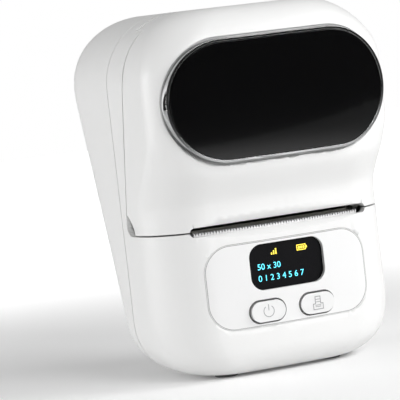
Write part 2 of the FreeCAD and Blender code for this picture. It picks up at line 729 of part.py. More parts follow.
write("power_button", button(-BUTTON_AT))
write("feed_button", button(BUTTON_AT))
switch_front = panel_board_front - SWITCH_THICK
write("button_switches", Part.makeCompound(
    [box(x - SWITCH_HALF, x + SWITCH_HALF, switch_front, panel_board_front,
         BUTTON_Z - SWITCH_HALF, BUTTON_Z + SWITCH_HALF) for x in (BUTTON_AT, -BUTTON_AT)]))
panel_board = box(-PANEL_BOARD_HALF, PANEL_BOARD_HALF, panel_board_front, panel_board_front + BOARD_THICK,
                  PANEL_BOARD_LOW, PANEL_BOARD_HIGH)
panel_screws = []
for x, z in panel_points:
    board_back = panel_board_front + BOARD_THICK
    panel_board = panel_board.cut(rod_y(x, panel_board_front, board_back, z, PANEL_SCREW_RADIUS + RUN_FIT))
    shank = rod_y(x, WALL * 1.5, board_back, z, PANEL_SCREW_RADIUS)
    head = rod_y(x, board_back, board_back + PANEL_SCREW_HEAD_TALL, z, PANEL_SCREW_HEAD)
    panel_screws.append(shank.fuse(head).removeSplitter())
write("panel_board", panel_board)
write("panel_screws", Part.makeCompound(panel_screws))

# Main board, charging socket and battery
write("main_board", box(-MAIN_HALF, MAIN_HALF, MAIN_FRONT, MAIN_BACK, MAIN_Z, MAIN_Z + BOARD_THICK))
socket_front = MAIN_BACK + SOCKET_PROUD - SOCKET_LENGTH
socket = stadium(SOCKET_HALF, SOCKET_HEIGHT / 2, socket_z, socket_front, MAIN_BACK + SOCKET_PROUD)
socket = socket.cut(stadium(SOCKET_HALF - SOCKET_WALL, SOCKET_HEIGHT / 2 - SOCKET_WALL, socket_z,
                            socket_front + 1.5, MAIN_BACK + SOCKET_PROUD))
tongue = box(-SOCKET_HALF * 0.75, SOCKET_HALF * 0.75, socket_front + 1.5, MAIN_BACK + SOCKET_PROUD - 0.6,
             socket_z - 0.35, socket_z + 0.35)
write("charging_socket", socket.fuse(tongue).removeSplitter())
battery = box(-BATTERY_HALF, BATTERY_HALF, BATTERY_FRONT, BATTERY_FRONT + BATTERY_THICK,
              BATTERY_LOW, BATTERY_LOW + BATTERY_HEIGHT)
battery = battery.makeFillet(2.0, [e for e in battery.Edges if abs(e.tangentAt(0).z) < 0.5
                                   and abs(e.tangentAt(0).x) > 0.5])
write("battery_pack", battery)

# Platen, bushings and gear train
platen_out = GEAR_IN + GEAR_WIDTH
shaft = rod_x(-CHEEK_IN - CHEEK_THICK, platen_out, PLATEN_DEPTH, platen_z, SHAFT_RADIUS)
write("platen_shaft", shaft)
rubber = rod_x(-PLATEN_HALF, PLATEN_HALF, PLATEN_DEPTH, platen_z, PLATEN_RADIUS)
write("platen_roller", rubber.cut(rod_x(-PLATEN_HALF, PLATEN_HALF, PLATEN_DEPTH, platen_z, SHAFT_RADIUS)))
bushes = []
for side in (1, -1):
    x0, x1 = across(side, CHEEK_IN, CHEEK_IN + CHEEK_THICK)
    bush = rod_x(x0, x1, PLATEN_DEPTH, platen_z, BUSH_RADIUS)
    bushes.append(bush.cut(rod_x(x0, x1, PLATEN_DEPTH, platen_z, SHAFT_RADIUS + RUN_FIT)))
write("platen_bushings", Part.makeCompound(bushes))
idler_angle = math.radians(IDLER_ANGLE)
motor_angle = math.radians(MOTOR_ANGLE)
idler_reach = GEAR_MODULE * (PLATEN_TEETH + IDLER_TEETH) / 2 + MESH_GAP
motor_reach = GEAR_MODULE * (IDLER_TEETH + MOTOR_TEETH) / 2 + MESH_GAP
idler_depth = PLATEN_DEPTH + idler_reach * math.cos(idler_angle)
idler_z = platen_z + idler_reach * math.sin(idler_angle)
motor_depth = idler_depth + motor_reach * math.cos(motor_angle)
motor_z = idler_z + motor_reach * math.sin(motor_angle)
# a tooth of the platen gear points at the idler, and each next gear shows a gap there
idler_tooth = idler_angle + math.pi + math.pi / IDLER_TEETH
gap_past = (motor_angle - idler_angle - math.pi) % (2 * math.pi / IDLER_TEETH)
motor_tooth = motor_angle + math.pi + gap_past * IDLER_TEETH / MOTOR_TEETH
platen_gear = gear_x(PLATEN_TEETH, idler_angle, PLATEN_DEPTH, platen_z, GEAR_IN, GEAR_WIDTH)
write("platen_gear", platen_gear.cut(rod_x(GEAR_IN, platen_out, PLATEN_DEPTH, platen_z, SHAFT_RADIUS)))
idler = gear_x(IDLER_TEETH, idler_tooth, idler_depth, idler_z, GEAR_IN, GEAR_WIDTH)
write("idler_gear", idler.cut(rod_x(GEAR_IN, platen_out, idler_depth, idler_z, AXLE_RADIUS + RUN_FIT)))
plate_out = INNER_PLATE + PLATE_THICK
write("idler_axle", rod_x(plate_out, OUTER_PLATE, idler_depth, idler_z, AXLE_RADIUS))
pinion = gear_x(MOTOR_TEETH, motor_tooth, motor_depth, motor_z, GEAR_IN, GEAR_WIDTH)
motor_shaft = rod_x(INNER_PLATE - PLATE_THICK, platen_out, motor_depth, motor_z, MOTOR_SHAFT)
write("motor_pinion", pinion.fuse(motor_shaft).removeSplitter())
motor = rod_x(INNER_PLATE - MOTOR_LENGTH, INNER_PLATE, motor_depth, motor_z, MOTOR_RADIUS)
shaft_hole = rod_x(INNER_PLATE - PLATE_THICK * 1.2, INNER_PLATE, motor_depth, motor_z, MOTOR_SHAFT + RUN_FIT)
motor = motor.cut(shaft_hole)
write("drive_motor", motor)

# Print head: ceramic on its heat sink, on a pivot pin with two springs below
ceramic_top = platen_z - PLATEN_RADIUS - PLATEN_NIP
sink_top = ceramic_top - CERAMIC_THICK
sink_low = sink_top - SINK_THICK
head_back = HEAD_FRONT + HEAD_LENGTH
head_pin_depth = head_back - HEAD_PIN_BACK
head_pin_z = sink_low + SINK_THICK / 2
ceramic_back = HEAD_FRONT + CERAMIC_LENGTH
write("head_ceramic", box(-HEAD_HALF, HEAD_HALF, HEAD_FRONT, ceramic_back, sink_top, ceramic_top))
sink = box(-HEAD_HALF, HEAD_HALF, HEAD_FRONT, head_back, sink_low, sink_top)
write("head_heatsink", sink.cut(rod_x(-HEAD_HALF, HEAD_HALF, head_pin_depth, head_pin_z,
                                      HEAD_PIN_RADIUS + RUN_FIT)))
write("head_pivot_pin", rod_x(-plate_out, plate_out, head_pin_depth, head_pin_z, HEAD_PIN_RADIUS))
spring_low = sink_low - SPRING_ROOM
springs = []
for side in (1, -1):
    lift = SPRING_ROOM - 2 * SPRING_WIRE
    coil = Part.makeHelix(lift / SPRING_TURNS, lift, SPRING_RADIUS)
    wire = Part.Wire(Part.makeCircle(SPRING_WIRE, Vector(SPRING_RADIUS, 0, 0), Vector(0, 1, 0)))
    spring = Part.Wire(coil.Edges).makePipeShell([wire], True, True)
    spring.translate(Vector(side * SPRING_AT, at(SPRING_DEPTH), spring_low + SPRING_WIRE))
    springs.append(spring)
write("head_springs", Part.makeCompound(springs))

# Inner frame: two inner plates for head and motor, two outer plates beside the roll, and shelves
shelf_low = SHELF_TOP - SHELF_THICK
spring_shelf_low = spring_low - SHELF_THICK


def inner_plate(side):
    top = sink_top
    outline = [(SPRING_SHELF_FRONT, spring_shelf_low),
               (motor_depth + MOTOR_RADIUS, spring_shelf_low - MOTOR_RADIUS),
               (motor_depth + MOTOR_RADIUS, SHELF_TOP), (SHELF_FRONT, SHELF_TOP), (SHELF_FRONT, top),
               (head_pin_depth - 3, top), (head_pin_depth - 3, spring_low),
               (SPRING_SHELF_FRONT, spring_low)]
    return side_prism(outline, *across(side, INNER_PLATE, plate_out))


def outer_plate(side):
    lower = idler_z - 6
    outline = [(FRAME_FRONT + 2, lower), (motor_depth + MOTOR_RADIUS, lower), (SHELF_BACK, SHELF_TOP + 10),
               (SHELF_BACK, FRAME_TOP), (FRAME_FRONT + 8, FRAME_TOP), (FRAME_FRONT + 2, shelf_low)]
    return side_prism(outline, *across(side, OUTER_PLATE, OUTER_PLATE + PLATE_THICK))


frame = both_sides(inner_plate).fuse(both_sides(outer_plate))
spring_shelf_back = motor_depth - MOTOR_RADIUS - SIDE_GAP
spring_shelf = box(-plate_out, plate_out, SPRING_SHELF_FRONT, spring_shelf_back, spring_shelf_low, spring_low)
frame = frame.fuse(spring_shelf)
gear_back = motor_depth + GEAR_MODULE * MOTOR_TEETH + 2
frame = frame.fuse(box(-OUTER_PLATE, plate_out, SHELF_FRONT, gear_back, shelf_low, SHELF_TOP))
frame = frame.fuse(box(-OUTER_PLATE, OUTER_PLATE, gear_back, SHELF_BACK, shelf_low, SHELF_TOP))
frame = frame.cut(rod_x(-plate_out, plate_out, head_pin_depth, head_pin_z, HEAD_PIN_RADIUS))
frame = frame.cut(rod_x(INNER_PLATE, plate_out, motor_depth, motor_z, MOTOR_SHAFT + SCREW_ROOM))
frame = frame.removeSplitter()
write("mechanism_frame", frame)

# Tear bar along the slot's lower lip
tear_top = SEAM_Z - TEAR_DROP
tear = box(-TEAR_HALF, TEAR_HALF, 0, LIP_DEPTH, tear_top - TEAR_HEIGHT, tear_top)
tear = tear.common(bow_cylinder(TEAR_DEPTH, TEAR_BOW))
tear = tear.cut(bow_cylinder(TEAR_DEPTH + TEAR_THICK, TEAR_BOW - TEAR_THICK))
notches = []
count = int(2 * TEAR_HALF / TEAR_PITCH)
for i in range(count):
    x = (i - (count - 1) / 2) * TEAR_PITCH
    corners = [Vector(x - TEAR_PITCH / 2, at(0), tear_top), Vector(x + TEAR_PITCH / 2, at(0), tear_top),
               Vector(x, at(0), tear_top - TEAR_TOOTH)]
    notches.append(Part.Face(Part.makePolygon(corners + corners[:1])).extrude(Vector(0, LIP_DEPTH, 0)))
write("tear_bar", tear.cut(Part.makeCompound(notches)))

# Paper sensor on the shelf's front edge
write("paper_sensor", box(-4, 4, SHELF_FRONT + 0.5, SHELF_FRONT + 3.5, SHELF_TOP, SHELF_TOP + 1.4))

# Roll guides on their rail, with racks on a shared pinion
rail_z = SHELF_TOP + RAIL_RISE
write("guide_rail", rod_x(-OUTER_PLATE, OUTER_PLATE, RAIL_DEPTH, rail_z, RAIL_RADIUS))
guide_low = SHELF_TOP + SLIDE_GAP
pinion_pitch = PINION_TEETH * GEAR_MODULE / 2
tooth_pitch = math.pi * GEAR_MODULE
rack_line = RAIL_DEPTH - pinion_pitch - MESH_GAP
guide_inner = ROLL_WIDTH / 2


def rack():
    """The left guide's rack, in front of the pinion, with a tooth gap facing the pinion's tooth."""
    addendum = 0.9 * GEAR_MODULE
    root = rack_line - 1.2 * GEAR_MODULE
    start = -guide_inner - GUIDE_THICK
    bar = box(start, RACK_REACH, root - RACK_BACKING, root, guide_low, guide_low + RACK_HEIGHT)
    half_pitch = tooth_pitch / 4 - MESH_GAP / 2
    lean = math.tan(math.radians(20))
    teeth = int((guide_inner + RACK_REACH) / tooth_pitch) - 1
    for i in range(teeth):
        x = RACK_REACH - tooth_pitch - i * tooth_pitch
        x = (math.floor(x / tooth_pitch) + 0.5) * tooth_pitch
        corners = []
        for sign, depth in ((-1, root), (-1, rack_line + addendum), (1, rack_line + addendum), (1, root)):
            width = half_pitch - (depth - rack_line) * lean
            corners.append(Vector(x + sign * width, at(depth), guide_low))
        tooth = Part.Face(Part.makePolygon(corners + corners[:1])).extrude(Vector(0, 0, RACK_HEIGHT))
        bar = bar.fuse(tooth)
    return bar.removeSplitter()


def guide(side):
    face = guide_inner
    x0, x1 = across(side, face, face + FOOT_LENGTH)
    foot = box(x0, x1, RAIL_DEPTH - FOOT_HALF, RAIL_DEPTH + FOOT_HALF, guide_low, guide_low + FOOT_TOP)
    x0, x1 = across(side, face, face + GUIDE_THICK)
    arm = side_prism([(RAIL_DEPTH - FOOT_HALF, guide_low + FOOT_TOP / 2),
                      (RAIL_DEPTH + FOOT_HALF, guide_low + FOOT_TOP / 2),
                      (ROLL_DEPTH + FOOT_HALF, ROLL_Z), (ROLL_DEPTH - FOOT_HALF, ROLL_Z)], x0, x1)
    flange = rod_x(x0, x1, ROLL_DEPTH, ROLL_Z, GUIDE_FLANGE)
    x0, x1 = across(side, face - GUIDE_HUB_LENGTH, face)
    hub = rod_x(x0, x1, ROLL_DEPTH, ROLL_Z, GUIDE_HUB)
    bar = rack()
    if side > 0:
        bar = bar.copy()
        bar.rotate(Vector(0, at(RAIL_DEPTH), 0), Vector(0, 0, 1), 180)
    near = rack_line - 1.2 * GEAR_MODULE - RACK_BACKING
    reach = RAIL_DEPTH - near
    x0, x1 = across(side, face, face + FOOT_LENGTH)
    d0 = RAIL_DEPTH - reach
    d1 = RAIL_DEPTH - FOOT_HALF + 1
    if side > 0:
        d0 = RAIL_DEPTH + FOOT_HALF - 1
        d1 = RAIL_DEPTH + reach
    bridge = box(x0, x1, d0, d1, guide_low, guide_low + RACK_HEIGHT)
    whole = foot.fuse(arm).fuse(flange).fuse(hub).fuse(bar).fuse(bridge)
    whole = whole.cut(rod_x(-WIDTH, WIDTH, RAIL_DEPTH, rail_z, RAIL_RADIUS + RUN_FIT))
    return whole.removeSplitter()


write("roll_guide_left", guide(-1))
write("roll_guide_right", guide(1))
guide_gear = gear_face(PINION_TEETH, GEAR_MODULE, math.pi / 2).extrude(Vector(0, 0, RACK_HEIGHT))
guide_gear.translate(Vector(0, at(RAIL_DEPTH), guide_low))
guide_gear = guide_gear.cut(rod_z(0, RAIL_DEPTH, guide_low, guide_low + RACK_HEIGHT, PINION_HUB + RUN_FIT))
write("guide_pinion", guide_gear)
write("guide_pinion_pin", rod_z(0, RAIL_DEPTH, SHELF_TOP, guide_low + RACK_HEIGHT, PINION_HUB))
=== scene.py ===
# %% [markdown]
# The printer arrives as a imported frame: every piece at its real size and place, in metres.
# Everything below dresses that frame. Nothing in it is moved or resized.

# %% Load the frame
import json
import math
import bmesh
import bpy
from mathutils import Matrix, Vector


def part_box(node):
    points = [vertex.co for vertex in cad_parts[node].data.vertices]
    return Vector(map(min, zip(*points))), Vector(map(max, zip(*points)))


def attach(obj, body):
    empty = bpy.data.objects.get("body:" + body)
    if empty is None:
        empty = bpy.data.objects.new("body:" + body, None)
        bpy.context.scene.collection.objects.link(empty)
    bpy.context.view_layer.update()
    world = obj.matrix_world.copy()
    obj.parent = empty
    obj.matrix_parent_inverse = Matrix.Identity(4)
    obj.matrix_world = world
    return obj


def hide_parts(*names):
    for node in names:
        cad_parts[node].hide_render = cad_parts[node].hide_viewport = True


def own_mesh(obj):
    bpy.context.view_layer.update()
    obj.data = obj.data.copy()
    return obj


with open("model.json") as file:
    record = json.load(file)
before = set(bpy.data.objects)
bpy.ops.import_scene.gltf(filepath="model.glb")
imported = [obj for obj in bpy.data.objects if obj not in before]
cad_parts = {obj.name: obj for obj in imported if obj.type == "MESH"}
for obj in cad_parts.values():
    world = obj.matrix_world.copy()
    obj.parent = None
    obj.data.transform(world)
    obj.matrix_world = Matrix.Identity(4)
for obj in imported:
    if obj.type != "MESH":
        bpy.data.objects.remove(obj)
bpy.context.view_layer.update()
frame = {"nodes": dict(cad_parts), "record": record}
MM = 0.001

# %% [markdown]
# A finish is a node tree that a learner can read from left to right. Every finish here starts from the
# same short recipe: a colour that drifts a little over the surface, a roughness that is never even,
# and a fine bump for the grain that a steel mould leaves in plastic. Finishes that rub against hands or
# neighbours are also a little lighter along their outer edges. One function holds the recipe.

# %% Finish recipe
WEAR_START = 0.52
WEAR_FULL = 0.62
RUBBED_LIFT = 0.4


def add_noise(tree, scale, detail=3.0):
    place = tree.nodes.new("ShaderNodeTexCoord")
    noise = tree.nodes.new("ShaderNodeTexNoise")
    noise.inputs["Scale"].default_value = scale
    noise.inputs["Detail"].default_value = detail
    tree.links.new(place.outputs["Object"], noise.inputs["Vector"])
    return noise


def spread(tree, source, low, high):
    ramp = tree.nodes.new("ShaderNodeMapRange")
    ramp.inputs["To Min"].default_value = low
    ramp.inputs["To Max"].default_value = high
    tree.links.new(source, ramp.inputs["Value"])
    return ramp.outputs["Result"]


def rub_edges(tree, base, colour, wear):
    """Lightens outer edges, where hands and neighbours rub, by the surface's own curvature."""
    curve = tree.nodes.new("ShaderNodeNewGeometry")
    edge = tree.nodes.new("ShaderNodeMapRange")
    edge.inputs["From Min"].default_value = WEAR_START
    edge.inputs["From Max"].default_value = WEAR_FULL
    edge.inputs["To Max"].default_value = wear
    tree.links.new(curve.outputs["Pointiness"], edge.inputs["Value"])
    rubbed = tree.nodes.new("ShaderNodeMix")
    rubbed.data_type = "RGBA"
    rubbed.inputs["B"].default_value = (*[c + (1 - c) * RUBBED_LIFT for c in colour], 1)
    tree.links.new(edge.outputs["Result"], rubbed.inputs["Factor"])
    tree.links.new(base, rubbed.inputs["A"])
    return rubbed.outputs["Result"]


def finish(name, colour, rough, drift=0.03, patch=60.0, grain=2600.0, bump=0.05, metal=0.0,
           coat=0.0, mirror=0.5, stretch=None, wear=0.0):
    """A moulded, ground or plated surface with drifting colour, uneven gloss and fine grain."""
    material = bpy.data.materials.new(name)
    material.use_nodes = True
    tree = material.node_tree
    shader = tree.nodes["Principled BSDF"]
    shader.inputs["Metallic"].default_value = metal
    shader.inputs["Coat Weight"].default_value = coat
    shader.inputs["Specular IOR Level"].default_value = mirror
    shader.inputs["Coat Roughness"].default_value = 0.08
    cloud = add_noise(tree, patch)
    blend = tree.nodes.new("ShaderNodeMix")
    blend.data_type = "RGBA"
    darker = [max(0.0, c * (1 - drift)) for c in colour]
    lighter = [min(1.0, c * (1 + drift)) for c in colour]
    blend.inputs["A"].default_value = (*darker, 1)
    blend.inputs["B"].default_value = (*lighter, 1)
    tree.links.new(cloud.outputs["Fac"], blend.inputs["Factor"])
    worn = rub_edges(tree, blend.outputs["Result"], colour, wear) if wear else blend.outputs["Result"]
    tree.links.new(worn, shader.inputs["Base Color"])
    tree.links.new(spread(tree, cloud.outputs["Fac"], rough * 0.85, rough * 1.15), shader.inputs["Roughness"])
    fine = add_noise(tree, grain, 2.0)
    if stretch:
        turn = tree.nodes.new("ShaderNodeMapping")
        turn.inputs["Scale"].default_value = stretch
        coordinate = tree.nodes.new("ShaderNodeTexCoord")
        tree.links.new(coordinate.outputs["Object"], turn.inputs["Vector"])
        tree.links.new(turn.outputs["Vector"], fine.inputs["Vector"])
    relief = tree.nodes.new("ShaderNodeBump")
    relief.inputs["Strength"].default_value = bump
    relief.inputs["Distance"].default_value = 0.02 * MM
    tree.links.new(fine.outputs["Fac"], relief.inputs["Height"])
    tree.links.new(relief.outputs["Normal"], shader.inputs["Normal"])
    return material


# %% [markdown]
# The housing is white plastic with a satin gloss. White reads as white because its neighbours are darker,
# so the colour stays below full white and the light does the rest.

# %% Finishes of the printer
ALONG_X = (0.02, 1.0, 1.0)
looks = {
    "white_shell": finish("white_housing", (0.82, 0.82, 0.815), 0.44, 0.012, 40.0, 3200.0, 0.06),
    "panel_white": finish("white_inlay", (0.82, 0.82, 0.82), 0.24, 0.01, 50.0, 3000.0, 0.04, coat=0.2),
    "button_white": finish("white_button", (0.80, 0.80, 0.80), 0.26, 0.012, 80.0, 3000.0, 0.05, coat=0.2,
                           wear=0.15),
    "ring_chrome": finish("bright_chrome", (0.55, 0.555, 0.56), 0.07, 0.02, 90.0, 4000.0, 0.02, metal=1.0),
    "black_glass": finish("black_acrylic", (0.002, 0.002, 0.0022), 0.03, 0.2, 30.0, 2000.0, 0.004, coat=0.2),
    "screen_black": finish("smoked_window", (0.003, 0.003, 0.004), 0.25, 0.2, 60.0, 2000.0, 0.01,
                           mirror=0.12),
    "frame_plastic": finish("grey_frame", (0.52, 0.53, 0.54), 0.5, 0.05, 70.0, 2200.0, 0.15, wear=0.25),
    "dark_plastic": finish("black_moulding", (0.03, 0.03, 0.033), 0.45, 0.1, 70.0, 2400.0, 0.15, wear=0.3),
    "gear_plastic": finish("acetal_gear", (0.75, 0.74, 0.68), 0.35, 0.04, 200.0, 2600.0, 0.08, wear=0.2),
    "roller_rubber": finish("ground_rubber", (0.012, 0.012, 0.0125), 0.7, 0.12, 90.0, 3000.0, 0.3,
                            mirror=0.2),
    "foot_rubber": finish("foot_rubber", (0.10, 0.10, 0.10), 0.7, 0.1, 120.0, 2600.0, 0.3, wear=0.25),
    "steel": finish("ground_steel", (0.62, 0.62, 0.63), 0.28, 0.05, 150.0, 2600.0, 0.12, metal=1.0,
                    stretch=ALONG_X, wear=0.3),
    "heatsink": finish("extruded_aluminium", (0.70, 0.70, 0.72), 0.35, 0.05, 120.0, 2600.0, 0.15, metal=1.0,
                       stretch=ALONG_X, wear=0.3),
    "ceramic": finish("glazed_ceramic", (0.72, 0.70, 0.62), 0.2, 0.03, 90.0, 2400.0, 0.04),
    "board_green": finish("solder_mask", (0.02, 0.13, 0.055), 0.4, 0.12, 260.0, 2400.0, 0.1),
    "battery_wrap": finish("shrink_wrap", (0.06, 0.13, 0.3), 0.35, 0.08, 60.0, 1400.0, 0.1, wear=0.2),
}
own_looks = {
    "tear_bar": finish("bright_tear_bar", (0.90, 0.90, 0.90), 0.5, 0.03, 120.0, 2600.0, 0.08,
                       stretch=ALONG_X),
}
print("finishes", len(looks) + len(own_looks))

# %% [markdown]
# The inlay's edge reads as a hair line of grey; the shade in the buttons' gaps is painted as a grey line.
# Each follows a rounded outline, so the finish measures each point's distance from that outline and tints
# a narrow band of it. The distance to a rounded rectangle needs only absolute values, a maximum and a length.

# %% Hair line and painted gap shade on the inlay
PANEL_ROUND = 8.0 * MM
PANEL_LINE = 0.11 * MM
PANEL_LINE_INSET = 0.28 * MM
PANEL_GREY = 0.36
# painted shade: a grey band around each button stands in for the shadow in its gap
BUTTON_GAP_SHADE_HALF_WIDTH = 0.14 * MM
BUTTON_GAP_SHADE_INSET = -0.36 * MM
BUTTON_GAP_SHADE_GREY = 0.12
BUTTON_HALF = (5.45 * MM, 0, 3.0 * MM)


def math_node(tree, operation, first, second=None):
    node = tree.nodes.new("ShaderNodeMath")
    node.operation = operation
    for socket, value in zip(node.inputs, (first, second)):
        if value is None:
            continue
        if isinstance(value, (int, float)):
            socket.default_value = value
        else:
            tree.links.new(value, socket)
    return node.outputs["Value"]


def tint_outline_band(material, low, high, rounding, inset, half_width, grey):
    """Tints a band along a rounded outline; a negative inset puts the band outside it."""
    tree = material.node_tree
    shader = tree.nodes["Principled BSDF"]
    place = tree.nodes.new("ShaderNodeTexCoord")
    parts = tree.nodes.new("ShaderNodeSeparateXYZ")
    tree.links.new(place.outputs["Object"], parts.inputs["Vector"])
    outside = []
    for axis, name in ((0, "X"), (2, "Z")):
        middle = (low[axis] + high[axis]) / 2
        reach = (high[axis] - low[axis]) / 2 - rounding
        away = math_node(tree, "ABSOLUTE", math_node(tree, "SUBTRACT", parts.outputs[name], middle))
        outside.append(math_node(tree, "SUBTRACT", away, reach))
    clipped = [math_node(tree, "MAXIMUM", value, 0.0) for value in outside]
    squares = [math_node(tree, "MULTIPLY", value, value) for value in clipped]
    corner = math_node(tree, "SQRT", math_node(tree, "ADD", squares[0], squares[1]))
    flat = math_node(tree, "MINIMUM", math_node(tree, "MAXIMUM", outside[0], outside[1]), 0.0)
    distance = math_node(tree, "SUBTRACT", math_node(tree, "ADD", corner, flat), rounding)
    off_line = math_node(tree, "ABSOLUTE", math_node(tree, "ADD", distance, inset))
    on_line = math_node(tree, "LESS_THAN", off_line, half_width)
    base = shader.inputs["Base Color"].links[0].from_socket
    tint = tree.nodes.new("ShaderNodeMix")
    tint.data_type = "RGBA"
    tint.inputs["B"].default_value = (grey, grey, grey, 1)
    tree.links.new(on_line, tint.inputs["Factor"])
    tree.links.new(base, tint.inputs["A"])
    tree.links.new(tint.outputs["Result"], shader.inputs["Base Color"])


panel_low, panel_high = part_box("control_panel")
inlay = looks["panel_white"]
tint_outline_band(inlay, panel_low, panel_high, PANEL_ROUND, PANEL_LINE_INSET, PANEL_LINE, PANEL_GREY)
# painted shade: each button's gap gets a grey band on the inlay around it
for button in ("power_button", "feed_button"):
    low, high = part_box(button)
    middle = [(a + b) / 2 for a, b in zip(low, high)]
    face_low = [m - h for m, h in zip(middle, BUTTON_HALF)]
    face_high = [m + h for m, h in zip(middle, BUTTON_HALF)]
    tint_outline_band(inlay, face_low, face_high, BUTTON_HALF[2], BUTTON_GAP_SHADE_INSET, BUTTON_GAP_SHADE_HALF_WIDTH, BUTTON_GAP_SHADE_GREY)
print("hair lines on the inlay")

# %% [markdown]
# The frame's meshes are loose triangles. A moulded piece has smooth faces that end in slightly rounded
# edges, so each node gets a dressed copy: its doubles are merged, its faces are smoothed except across
# true edges, and the pieces a hand or eye meets first get a small bevel that catches the light. The rest
# weigh each corner's direction by face area, so that a sliver next to a large face leaves no mark on it.

# %% Dressed copies of the frame's pieces
TRUE_EDGE = math.radians(32)
MOULDED_EDGE = math.radians(18)
WELD = 0.002 * MM
edge_rounds = {
    "window_glass": 0.45 * MM,
    "window_ring": 0.12 * MM,
    "power_button": 0.45 * MM,
    "feed_button": 0.45 * MM,
    "rubber_feet": 0.3 * MM,
    "case_screws": 0.2 * MM,
    "lid_liner": 0.3 * MM,
    "roll_guide_left": 0.25 * MM,
    "roll_guide_right": 0.25 * MM,
    "battery_pack": 0.4 * MM,
    "drive_motor": 0.4 * MM,
}
slot_of = {entry["node"]: entry["material_slot"] for entry in frame["record"]["subparts"]}
body_of = {node: body for body, nodes in frame["record"]["behaviour"]["bodies"].items() for node in nodes}


def dress(node):
    """A merged, smoothed copy of a node that rides on its body and takes its place in the picture."""
    source = frame["nodes"][node]
    shape = bmesh.new()
    shape.from_mesh(source.data)
    bmesh.ops.remove_doubles(shape, verts=shape.verts, dist=WELD)
    width = edge_rounds.get(node)
    if width:
        bmesh.ops.dissolve_limit(shape, angle_limit=math.radians(1), verts=shape.verts, edges=shape.edges)
    mesh = bpy.data.meshes.new(node + "_dressed")
    shape.to_mesh(mesh)
    shape.free()
    mesh.materials.clear()
    mesh.materials.append(own_looks.get(node, looks[slot_of[node]]))
    for face in mesh.polygons:
        face.use_smooth = True
        face.material_index = 0
    mesh.set_sharp_from_angle(angle=TRUE_EDGE if width else MOULDED_EDGE)
    piece = bpy.data.objects.new(node + "_dressed", mesh)
    bpy.context.scene.collection.objects.link(piece)
    if width:
        bevel = piece.modifiers.new("soft_edges", "BEVEL")
        bevel.width = width
        bevel.segments = 3
        bevel.limit_method = "ANGLE"
        bevel.angle_limit = TRUE_EDGE
        bevel.harden_normals = True
    else:
        even = piece.modifiers.new("even_shading", "WEIGHTED_NORMAL")
        even.mode = "FACE_AREA"
        even.weight = 100
        even.keep_sharp = True
    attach(piece, body_of[node])
    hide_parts(node)
    return piece


dressed = {node: dress(node) for node in sorted(frame["nodes"])}
print("dressed", len(dressed))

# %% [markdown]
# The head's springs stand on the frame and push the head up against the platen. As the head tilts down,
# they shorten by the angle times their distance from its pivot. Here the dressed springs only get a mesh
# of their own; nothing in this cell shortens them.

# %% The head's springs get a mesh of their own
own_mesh(dressed["head_springs"])

# %% [markdown]
# The two buttons carry printed signs: the ring and stroke for power, and a small outline of a sheet
# coming out of a box for feed. Each sign is a thin plate built from a few bmesh operators, and it lies
# a hair above the button's face, so it moves with the button.

# %% Signs on the buttons
SIGN_LIFT = 0.03 * MM
SIGN_THICK = 0.02 * MM
SIGN_LINE = 0.24 * MM
sign_grey = finish("sign_print", (0.35, 0.35, 0.36), 0.45, 0.05, 90.0, 2600.0, 0.05)


def button_front(node):
    low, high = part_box(node)
    return Vector(((low[0] + high[0]) / 2, low[1], (low[2] + high[2]) / 2))


def bar(shape, x0, x1, z0, z1):
    """A thin plate seen from the front, between two corners."""
    size = Matrix.Diagonal((x1 - x0, SIGN_THICK, z1 - z0, 1))
    place = Matrix.Translation(((x0 + x1) / 2, 0, (z0 + z1) / 2))
    bmesh.ops.create_cube(shape, size=1.0, matrix=place @ size)


def ring_arc(shape, radius, gap):
    """Part of a flat ring, open at the top by the gap angle on each side."""
    inner = radius - SIGN_LINE / 2
    outer = radius + SIGN_LINE / 2
    start = Matrix.Rotation(gap, 4, "Y")
    corners = [start @ Vector((0, y, r)) for y, r in ((-SIGN_THICK / 2, inner), (-SIGN_THICK / 2, outer),
                                                     (SIGN_THICK / 2, outer), (SIGN_THICK / 2, inner))]
    face = shape.faces.new([shape.verts.new(corner) for corner in corners])
    cap = bmesh.ops.duplicate(shape, geom=[face])["geom"]
    bmesh.ops.spin(shape, geom=cap, cent=(0, 0, 0), axis=(0, 1, 0), dvec=(0, 0, 0),
                   angle=2 * math.pi - 2 * gap, steps=40, use_merge=False, use_duplicate=False)


def finish_piece(shape, name, place, material, body):
    bmesh.ops.remove_doubles(shape, verts=shape.verts, dist=WELD / 4)
    bmesh.ops.recalc_face_normals(shape, faces=shape.faces)
    bmesh.ops.translate(shape, verts=shape.verts, vec=place)
    mesh = bpy.data.meshes.new(name)
    shape.to_mesh(mesh)
    shape.free()
    mesh.materials.append(material)
    piece = bpy.data.objects.new(name, mesh)
    bpy.context.scene.collection.objects.link(piece)
    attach(piece, body)
    return piece


power_sign = bmesh.new()
ring_arc(power_sign, 1.65 * MM, math.radians(35))
bar(power_sign, -SIGN_LINE / 2, SIGN_LINE / 2, 0.2 * MM, 2.0 * MM)
finish_piece(power_sign, "power_sign", button_front("power_button") - Vector((0, SIGN_LIFT, 0)), sign_grey,
             "power_button")

